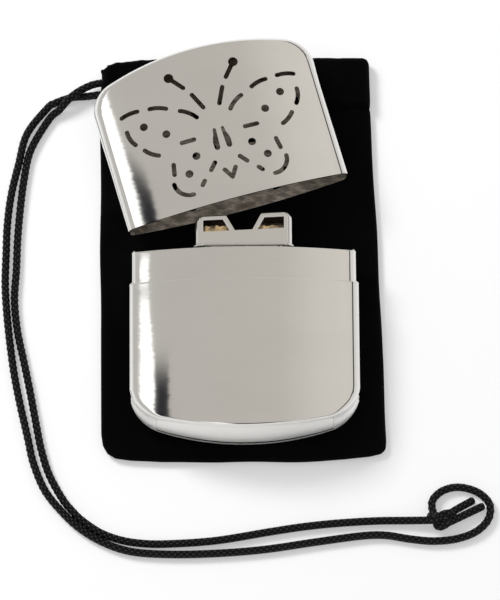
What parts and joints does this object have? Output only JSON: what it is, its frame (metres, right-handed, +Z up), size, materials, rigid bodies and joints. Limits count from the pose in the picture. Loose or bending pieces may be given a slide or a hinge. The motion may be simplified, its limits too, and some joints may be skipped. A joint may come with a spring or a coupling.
{
  "type": "catalytic hand warmer",
  "caption": "Flat metal pocket hand warmer with its vented cap pulled off, a clip-on catalyst burner in the filler neck, and a drawstring cloth pouch under it.",
  "frame": {"origin": "on the pouch's flat underside, below the middle of the tank's shoulder", "axes": "+X across the warmer, +Y along the tank towards the cap, +Z up from the table"},
  "size_m": [0.1454, 0.1593, 0.0204],
  "materials": {
    "chrome_shell": "polished, fine brush lines",
    "satin_plate": "satin",
    "burner_sheet": "bright pressed sheet",
    "cotton": "raw wadding",
    "catalyst_fibre": "glass fibre mat",
    "velvet": "short black pile",
    "cord_braid": "black braid"
  },
  "bodies": {
    "pouch": {"pouch_back_panel": "velvet", "pouch_front_panel": "velvet", "pouch_casing": "velvet", "drawstring_casing_run": "cord_braid", "drawstring_long_strand": "cord_braid", "drawstring_short_strand": "cord_braid", "drawstring_knot": "cord_braid", "drawstring_tails": "cord_braid"},
    "tank": {"tank_shell": "chrome_shell", "base_plate": "satin_plate", "collar_sleeve": "chrome_shell", "top_plate": "satin_plate", "filler_neck": "satin_plate", "cotton_wadding": "cotton", "wick_pad": "cotton"},
    "burner": {"burner_skirt": "burner_sheet", "burner_housing": "burner_sheet", "catalyst_screen": "satin_plate", "catalyst_mat": "catalyst_fibre"},
    "cap": {"cap_shell": "chrome_shell"}
  },
  "joints": [
    {"name": "warmer_lift", "type": "slide", "parent": "pouch", "child": "tank", "axis": [0, 0, 1], "range_m": [0, 0.04]},
    {"name": "burner_pull", "type": "slide", "parent": "tank", "child": "burner", "axis": [0, 1, 0], "range_m": [0, 0.015]},
    {"name": "cap_slide", "type": "slide", "parent": "tank", "child": "cap", "axis": [-0.2652, 0.9628, 0.0523], "range_m": [0, 0.03]}
  ]
}
